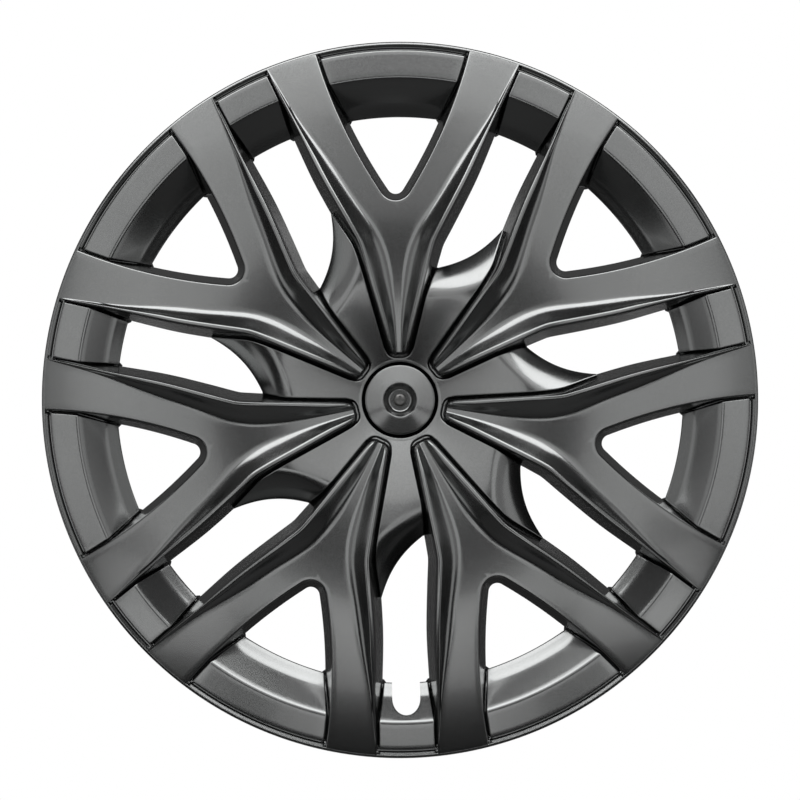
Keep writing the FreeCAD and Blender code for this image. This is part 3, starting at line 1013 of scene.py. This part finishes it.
@dataclass
class HubWeb:
    """Web between the noses: a shallow cone, scooped toward each slot, grooved at the spokes' feet."""

    form: SpokeForm
    height: float = -3.2
    well: float = 24.1
    well_floor: float = -8.0
    well_taper: float = 2.1
    well_bore: float = 5.0
    tip_radius: float = 124.7
    scoop_centre: float = 135.1
    scoop_side: float = 42.9
    scoop_low: float = 57.2
    scoop_high: float = 76.3
    soft: float = 1.8
    dish: float = 0.29
    dish_reach: float = 54.0
    dish_soft: float = 10.0
    ramp: Pair = (0.27, 0.0168)
    groove: float = 1.5
    depth: float = 3.0
    wall: float = 2.4
    corner: float = 2.5
    slot_edge: float = 1.4

    def __post_init__(self) -> None:
        """Place the middle of the scoop."""
        half = math.pi / self.form.count
        self.middle = np.array([self.scoop_centre * math.sin(half) - self.scoop_side * math.cos(half),
                                self.scoop_centre * math.cos(half) + self.scoop_side * math.sin(half)])
        self.offsets = np.array([-0.9, 0.35, *(self.groove + past for past in (0.0, 0.15, 0.35, 0.75))])
        self.lowered = np.array([1.0, 1.0, *GROOVE_FALL])

    def level(self, distance: Array, radius: Array) -> Array:
        """Height of the web at distances from the scoop's middle and from the wheel axis."""
        past = eased(self.scoop_high - np.asarray(distance, float), self.soft)
        return self.cone(radius) - self.ramp[0] * past - self.ramp[1] * past ** 2

    def cone(self, radius: Array) -> Array:
        """Height of the cone at a distance from the wheel axis, level again past its reach."""
        run = np.maximum(np.asarray(radius, float) - self.well, 0.0)
        return self.height + self.dish * (run - eased(run - self.dish_reach, self.dish_soft))

    def wall_height(self, reach: Array, distance: Array) -> Array:
        """Height of the web beside a spoke, at a reach along it and a distance from the scoop's middle."""
        return self.level(distance, np.hypot(self.form.fin.at(reach), reach))

    def foot(self, distance: float, hand: Hand) -> Array:
        """Foot of a spoke's wall where it is at a distance from the middle of the scoop.

        Args:
            distance: The distance.
            hand: RIGHT for the wall of the spoke at the top, LEFT for the next one clockwise.

        Returns:
            The point and the direction away from the wall.
        """
        def spot(v: Array) -> Array:
            """Point of the wall at the web's height."""
            return self.on_wall(v, self.wall_height(v, distance), hand)

        reach = solved(lambda v: -np.linalg.norm(spot(v) - self.middle, axis=-1), np.array(-distance),
                       34.0, 128.0)
        here = spot(reach)
        step = spot(reach + 0.1) - here
        away = np.array([step[1], -step[0]]) * hand.value
        return np.stack([here, away / np.linalg.norm(away)])

    def on_wall(self, reach: Array, height: Array, hand: Hand) -> Array:
        """Point of the wall of the spoke at the top, or for LEFT of the next one clockwise."""
        spot = np.stack([self.form.flank(reach, height) * hand.value, np.asarray(reach, float)], -1)
        return spot if hand is Hand.RIGHT else spun(spot, -360.0 / self.form.count)

    def nose_path(self, hand: Hand) -> tuple[Array, Array]:
        """Foot of a nose from its tip to the start of the scoop.

        Args:
            hand: RIGHT for the spoke at the top, LEFT for the next one clockwise.

        Returns:
            Points and the directions away from the wall.
        """
        form = self.form
        run = float(form.flank(form.tip, self.cone(form.tip)) - form.fin.at(form.tip))
        wide = float(form.fin.at(form.tip)) - self.corner
        radius = self.corner + run
        centre = np.array([wide, form.tip + self.corner])
        end = [np.array([u, form.tip - run]) for u in np.linspace(0, wide, 4)[:-1]]
        turn = np.linspace(0, math.radians(76), 8)
        bend = [centre + radius * np.array([math.sin(a), -math.cos(a)]) for a in turn]
        turned = 0.0 if hand is Hand.RIGHT else 360.0 / form.count
        stop = spun(self.foot(self.scoop_high + 2 * self.soft, hand)[0], turned)[1]
        ease = np.linspace(0, 1, 27)[1:]
        reach = bend[-1][1] + (stop - bend[-1][1]) * ease
        side = np.stack([form.flank(reach, self.wall_height(reach, self.scoop_high + 40.0)), reach], -1)
        path = np.concatenate([end, bend, side])
        along = np.gradient(path, axis=0)
        away = np.stack([along[:, 1], -along[:, 0]], -1)
        away[0] = (0.0, -1.0)
        away /= np.linalg.norm(away, axis=-1, keepdims=True)
        if hand is Hand.LEFT:
            path, away = (spun(line * (-1, 1), -turned) for line in (path, away))
        return path, away

    def lift(self, plan: Array, drop: Array | float) -> Array:
        """Points at places in the plane of the cover that lie a drop below the web's surface."""
        height = self.level(np.linalg.norm(plan - self.middle, axis=-1), np.linalg.norm(plan, axis=-1)) - drop
        return np.concatenate([plan, height[..., None]], -1)

    def build(self) -> bpy.types.Object:
        """Build the web and the well for the cap.

        Returns:
            The piece.
        """
        form = self.form
        paths = [self.nose_path(hand) for hand in (Hand.RIGHT, Hand.LEFT)]
        skin = Skin()
        for path, away in paths:
            strip = path[:, None] + away[:, None] * self.offsets[None, :, None]
            skin.grid(self.lift(strip, self.lowered[None, :] * self.depth))
        left, right = (path + away * self.offsets[-1] for path, away in paths)
        skin.grid(self.lift(self.patch(left, right), 0.0))
        skin.grid(self.scoop())
        radius = float(np.hypot(*left[0]))
        line = soft_line([(radius, float(self.cone(radius))), (self.well, self.height),
                          (self.well - self.well_taper, self.well_floor), (self.well_bore, self.well_floor)],
                         [0, 0.25, 0.1, 0], 5, 4.0)
        whole = skin.turned(form.count).grid(revolved(line, 168))
        return placed("hub_web", whole.mesh("hub_web"), self.wall)

    def patch(self, left: Array, right: Array) -> Array:
        """Grid that fills the web between two noses.

        Args:
            left: Edge along the spoke at the top.
            right: Edge along the next spoke clockwise.

        Returns:
            Places in the plane of the cover.
        """
        across = np.linspace(0, 1, 31)
        up = np.linspace(0, 1, len(left))
        inner = self.arc(left[0], right[0], np.zeros(2), across)
        outer = self.arc(left[-1], right[-1], self.middle, across)
        s, t = across[None, :, None], up[:, None, None]
        ruled = (1 - s) * left[:, None] + s * right[:, None] + (1 - t) * inner[None] + t * outer[None]
        corners = ((1 - s) * (1 - t) * left[0] + s * (1 - t) * right[0]
                   + (1 - s) * t * left[-1] + s * t * right[-1])
        return ruled - corners

    @staticmethod
    def arc(start: Array, end: Array, middle: Array, share: Array, between: float | None = None) -> Array:
        """Points from start to end, turning about a middle.

        Args:
            start: First point.
            end: Last point.
            middle: Point to turn about.
            share: Places along the turn, from 0 to 1.
            between: Distance from the middle to keep to away from both ends.

        Returns:
            The points.
        """
        first, last = start - middle, end - middle
        a, b = math.atan2(first[1], first[0]), math.atan2(last[1], last[0])
        b += 2 * math.pi * round((a - b) / (2 * math.pi))
        near, far = np.linalg.norm(first), np.linalg.norm(last)
        if between is None:
            radius = near * (1 - share) + far * share
        else:
            radius = between + (near - between) * (1 - share) ** 6 + (far - between) * share ** 6
        angle = a + (b - a) * share
        return middle + np.stack([radius * np.cos(angle), radius * np.sin(angle)], -1)

    def tip(self) -> float:
        """Distance from the scoop's middle to the tip, where the slot's edge runs into the next spoke."""
        low, high = self.scoop_low, self.scoop_high
        for _ in range(40):
            trial = (low + high) / 2
            beyond = np.hypot(*self.foot(trial, Hand.LEFT)[0]) > self.tip_radius
            low, high = (trial, high) if beyond else (low, trial)
        return high

    def scoop(self) -> Array:
        """Grid of the scooped ramp, from its soft crease to the edge of the slot.

        Returns:
            The grid.
        """
        high, low = self.scoop_high + 2 * self.soft, self.scoop_low
        distances = np.concatenate([np.linspace(high, high - 4 * self.soft, 12),
                                    np.linspace(high - 4 * self.soft, low + 0.9, 8)[1:],
                                    [low + 0.5, low + 0.2, low]])
        sink = np.concatenate([np.zeros(len(distances) - 3), [0.06, 0.3, 0.9]])
        across = np.linspace(0, 1, 41)
        tip = self.tip()
        rows = []
        for distance, extra in zip(distances, sink):
            start, away = self.foot(float(distance), Hand.RIGHT)
            stop, back = self.foot(max(float(distance), tip), Hand.LEFT)
            left = start + away * self.offsets[:, None]
            right = stop + back * self.offsets[:, None]
            bend = self.arc(left[-1], right[-1], self.middle, across, float(distance))
            plan = np.concatenate([left[:-1], bend, right[::-1][1:]])
            drop = np.concatenate([self.lowered[:-1], across * 0, self.lowered[::-1][1:]]) * self.depth
            rows.append(self.lift(plan, drop + extra))
        rows = np.array(rows)
        back = rows[-1:].copy()
        back[..., 2] -= self.slot_edge
        return np.concatenate([rows, back])


# Back of the cover


@dataclass
class Legs:
    """Seven springy legs behind the large pads, each with a barb, a wire seat and two gussets."""

    form: SpokeForm
    near: float = 199.2
    thick: float = 2.6
    width: float = 26.0
    end: float = -32.0
    wire: float = -22.0
    wire_radius: float = 1.5
    barb: float = 2.5
    root: float = 9.4
    gusset: float = 2.2
    spacing: float = 20.0
    seat: Pair = (2.8, 0.3)
    rib_foot: Pair = (193.4, -5.0)
    rib_end: Pair = (203.0, 8.2)
    rib_reach: float = -13.0
    edge: float = 0.35

    def build(self) -> bpy.types.Object:
        """Build the legs.

        Returns:
            The piece.
        """
        far, lip = self.near + self.thick, self.near - self.seat[0]
        upper, lower = (self.wire + side * (self.wire_radius + self.seat[1]) for side in (1, -1))
        leg = [(far, self.root), (far, self.wire + 7), (far + self.barb, self.wire + 1.5),
               (far + self.barb, self.wire - 1.5), (far - 0.8, self.end), (self.near, self.end),
               (self.near, lower - 2.2), (lip, lower - 1.6), (lip, lower), (self.near, lower),
               (self.near, upper), (lip, upper), (lip, upper + 1.6), (self.near, upper + 2.2),
               (self.near, self.root)]
        root = self.near + 0.8
        rib = [(root, self.root), (root, self.rib_reach), self.rib_foot, self.rib_end]
        plates = [(leg, 0.0, self.width),
                  *((rib, hand.value * self.spacing / 2, self.gusset) for hand in Hand)]
        turns = [-360.0 / self.form.count * turn for turn in range(self.form.count)]
        pairs = [[spun(np.array([(across + side * width / 2, r, z) for r, z in outline]), turn)
                  for side in (-1, 1)]
                 for turn in turns for outline, across, width in plates]
        return placed("spring_legs", slabs("spring_legs", pairs), bevel=self.edge)


@dataclass
class SpringRing:
    """Open wire ring in the legs' seats; its ends turn inward beside the valve."""

    radius: float = 197.55
    wire: float = 1.5
    height: float = -22.0
    gap: float = 8.0
    bend: float = 5.0
    tail: float = 9.0

    def build(self) -> bpy.types.Object:
        """Build the ring as a round wire.

        Returns:
            The piece.
        """
        hoop = [(self.radius * math.sin(a), self.radius * math.cos(a))
                for a in np.radians(np.linspace(0, 180 - self.gap, 121))]
        out = np.array(hoop[-1]) / self.radius
        side = np.array([out[1], -out[0]])
        centre = out * (self.radius - self.bend)
        turn = np.radians(np.linspace(0, 90, 9))[1:]
        hook = [centre + self.bend * (out * math.cos(a) + side * math.sin(a)) for a in turn]
        half = np.array([*hoop, *hook, hook[-1] - out * self.tail])
        path = np.concatenate([half[::-1] * (-1, 1), half[1:]])
        along = np.gradient(path, axis=0)
        along /= np.linalg.norm(along, axis=-1, keepdims=True)
        normal = np.stack([along[:, 1], -along[:, 0]], -1)
        turn = np.linspace(0, 2 * math.pi, 13)
        plan = path[:, None] + normal[:, None] * (self.wire * np.cos(turn))[:, None]
        height = np.broadcast_to(self.height + self.wire * np.sin(turn), plan.shape[:2])
        rows = np.concatenate([plan, height[..., None]], -1)
        first, last = (np.broadcast_to(rows[[k], :-1].mean(1, keepdims=True), rows[:1].shape)
                       for k in (0, -1))
        skin = Skin().grid(np.concatenate([first, rows, last]), face_front=False)
        return placed("spring_ring_wire", skin.mesh("spring_ring_wire", closed=True))


# Centre cap and screw


@dataclass
class CentreCap:
    """Round cap in the well of the hub, with a softly rolled edge and a cup for the screw."""

    radius: float = 22.0
    top: float = 1.6
    crown: float = 5.0
    cup: float = 10.3
    cup_floor_radius: float = 7.0
    cup_floor: float = -2.0
    wall: float = 2.2
    seat: float = -7.5
    bore: float = 2.3
    steps: int = 128

    def build(self) -> bpy.types.Object:
        """Build the cap.

        Returns:
            The piece.
        """
        reach = np.linspace(self.cup + 0.4, self.radius, 9)
        crown = [(float(r), self.top - self.crown * float(r - reach[0]) / self.radius) for r in reach]
        line = soft_line(
            [(self.bore, self.seat), (self.bore, self.cup_floor), (self.cup_floor_radius, self.cup_floor),
             (self.cup - 0.6, self.top - 1.0), *crown, (self.radius, self.seat),
             (self.radius - self.wall, self.seat), (self.radius - self.wall, self.top - 2 * self.wall),
             (self.cup + 1.6, self.top - self.wall),
             (self.cup_floor_radius + 2.3, self.seat), (self.bore, self.seat)],
            [0, 0.3, 0.6, 0.5, 0.4, *([0] * (len(crown) - 2)), 0.35, 0.4, 0.4, 0.6, 0.6, 0.4, 0], 6, 2.5)
        return turned_solid("hub_cap", line, self.steps)


@dataclass
class CapScrew:
    """Domed screw with a cross recess, at the bottom of the cap's cup."""

    seat: float = -2.0
    head: float = 4.1
    head_height: float = 2.4
    shank: float = 2.1
    core: float = 1.7
    length: float = 13.0
    slot_width: float = 1.4
    slot_length: float = 5.6
    slot_depth: float = 1.6
    collar: float = 1.4
    steps: int = 64

    def build(self) -> bpy.types.Object:
        """Build the screw.

        Returns:
            The piece.
        """
        crown, tail, collar = self.seat + self.head_height, self.seat - self.length, self.seat - self.collar
        line = soft_line(
            [(0.0, tail), (self.core * 0.4, tail), (self.core, tail + 3), (self.core, collar),
             (self.shank, collar), (self.shank, self.seat), (self.head, self.seat), (self.head, crown - 1.0),
             (self.head * 0.7, crown - 0.15), (0.0, crown)],
            [0, 0.2, 0.4, 0, 0, 0.2, 0.2, 0.5, 0.8, 0], 6, 1.2)
        half, arm = self.slot_width / 2, self.slot_length / 2
        quarter = np.array([(half, arm), (half, half), (arm, half)])
        outline = np.concatenate([spun(quarter, -90.0 * turn) for turn in range(4)])
        sides = [np.insert(outline, 2, height, axis=1) for height in (crown - self.slot_depth, crown + 2)]
        cutter = bpy.data.objects.new("recess_cutter", slabs("recess_cutter", [sides]))
        bpy.context.scene.collection.objects.link(cutter)
        return turned_solid("cross_screw", line, self.steps, cutter=cutter, smooth=32.0)


# Studio


@dataclass
class Studio:
    """Pale floor and backdrop, soft lamps and the camera."""

    distance: float = 0.85
    lens: float = 61.7
    roll: float = 1.2
    lip_plane: float = -0.0117
    floor_height: float = -4.5
    floor_radius: float = 6.0
    backdrop: float = 20.0
    backdrop_half: float = 6.25
    lamp_reach: float = 1.7
    below: float = 0.024
    above: float = 0.096
    power: float = 2.4
    floor_shade: float = 0.7
    backdrop_shade: float = 0.8

    def paper(self, name: str, corners: Sequence[tuple[float, float, float]], finish: PaleSheet) -> None:
        """Add one sheet of studio paper.

        Args:
            name: Name of the sheet.
            corners: Its corners, in order.
            finish: Its finish.
        """
        mesh = bpy.data.meshes.new(name)
        mesh.from_pydata([list(c) for c in corners], [], [list(range(len(corners)))])
        sheet = bpy.data.objects.new(name, mesh)
        bpy.context.scene.collection.objects.link(sheet)
        mesh.materials.append(finish.material())

    def lamp(self, name: str, side: float, above: float, spread: Pair, level: float) -> None:
        """Add a soft lamp that faces the cover.

        Args:
            name: Name of the lamp.
            side: How far it stands to the right of the camera, in degrees seen from the cover.
            above: How far it stands above the camera, in degrees.
            spread: Half its width and height, in degrees.
            level: Brightness of its surface, as a share of the studio's power.
        """
        east, up = math.radians(side), math.radians(above)
        toward = Vector((math.sin(east) * math.cos(up), -math.cos(east) * math.cos(up), math.sin(up)))
        place = toward * self.lamp_reach
        wide, tall = (2 * self.lamp_reach * math.tan(math.radians(angle)) for angle in spread)
        data = bpy.data.lights.new(name, "AREA")
        data.shape, data.size, data.size_y = "RECTANGLE", wide, tall
        data.energy = self.power * level * math.pi * wide * tall
        lamp = bpy.data.objects.new(name, data)
        lamp.location = place
        lamp.rotation_euler = (-place).to_track_quat("-Z", "Y").to_euler()
        bpy.context.scene.collection.objects.link(lamp)

    def build(self) -> None:
        """Set up the floor, backdrop, lamps, world and camera."""
        z, y, wide = self.floor_height, self.backdrop, self.backdrop_half
        turn = [math.tau * k / 64 for k in range(64)]
        round_floor = [(self.floor_radius * math.cos(a), self.floor_radius * math.sin(a), z) for a in turn]
        self.paper("floor", round_floor, PaleSheet("floor_paper", self.floor_shade, 0.0))
        self.paper("backdrop", [(-wide, y, -wide), (wide, y, -wide), (wide, y, wide), (-wide, y, wide)],
                   PaleSheet("backdrop_paper", self.backdrop_shade, 1.0))
        self.lamp("overhead", 0.0, 49.3, (35.0, 15.8), 1.85)
        self.lamp("front", 0.0, 27.5, (25.0, 5.0), 0.6)
        self.lamp("front_low", 0.0, 13.0, (6.0, 8.0), 0.22)
        self.lamp("low_fill", 0.0, -13.0, (6.0, 4.0), 0.6)
        self.lamp("floor_fill", 0.0, -20.0, (8.0, 3.0), 0.5)
        for name, hand in (("left", Hand.LEFT), ("right", Hand.RIGHT)):
            self.lamp(f"{name}_low", 20.5 * hand.value, -16.5, (7.0, 4.5), 0.5)
            self.lamp(f"{name}_near", 12.0 * hand.value, 3.75, (6.0, 18.25), 0.44)
            self.lamp(f"{name}_fill", 23.4 * hand.value, 6.5, (5.4, 15.5), 0.48)
            self.lamp(f"{name}_outer", 40.0 * hand.value, 6.5, (11.2, 15.5), 0.2)
            self.lamp(f"{name}_side", 61.0 * hand.value, -2.0, (9.5, 28.0), 0.34)
        self.sky()
        bpy.context.scene.view_settings.view_transform = "Standard"
        data = bpy.data.cameras.new("camera")
        data.lens, data.sensor_width = self.lens, 36.0
        camera = bpy.data.objects.new("camera", data)
        camera.location = (0.0, self.lip_plane - self.distance, 0.0)
        facing = Matrix.Rotation(math.radians(90), 4, "X")
        camera.rotation_euler = (facing @ Matrix.Rotation(math.radians(-self.roll), 4, "Z")).to_euler()
        bpy.context.scene.collection.objects.link(camera)
        bpy.context.scene.camera = camera

    def sky(self) -> None:
        """Set the plain grey surroundings, a little darker below."""
        world = bpy.data.worlds.new("studio")
        bpy.context.scene.world = world
        world.use_nodes = True
        tree = world.node_tree
        place = tree.nodes.new("ShaderNodeTexCoord")
        parts = tree.nodes.new("ShaderNodeSeparateXYZ")
        shade = tree.nodes.new("ShaderNodeMapRange")
        spread = {"From Min": -0.5, "From Max": 0.5, "To Min": self.below, "To Max": self.above}
        for key, value in spread.items():
            shade.inputs[key].default_value = value
        tree.links.new(place.outputs["Generated"], parts.inputs[0])
        tree.links.new(parts.outputs["Z"], shade.inputs["Value"])
        tree.links.new(shade.outputs["Result"], tree.nodes["Background"].inputs["Color"])


def main() -> None:
    """Build the studio and every piece of the cover, in order."""
    logging.basicConfig(level=logging.INFO, format="%(name)s %(message)s")
    Studio().build()
    paint = SatinPaint("gunmetal_paint", (0.131, 0.134, 0.133), (0.205, 0.209, 0.208)).material()
    plated = Steel("plated_steel", (0.08, 0.08, 0.08), (0.16, 0.16, 0.155), (0.28, 0.48)).material()
    spring = Steel("spring_steel", (0.36, 0.36, 0.35), (0.52, 0.52, 0.50), (0.25, 0.4)).material()
    form = SpokeForm()
    for part in (Spokes(form), OuterLip(form), RimPanels(form), HubWeb(form), Legs(form)):
        dressed(part.build(), paint, Slot.COVER, "cover_body")
    dressed(CentreCap().build(), paint, Slot.CAP, "centre_cap")
    dressed(CapScrew().build(), plated, Slot.SCREW, "cap_screw")
    dressed(SpringRing().build(), spring, Slot.RING, "spring_ring")


if __name__ == "__main__":
    main()
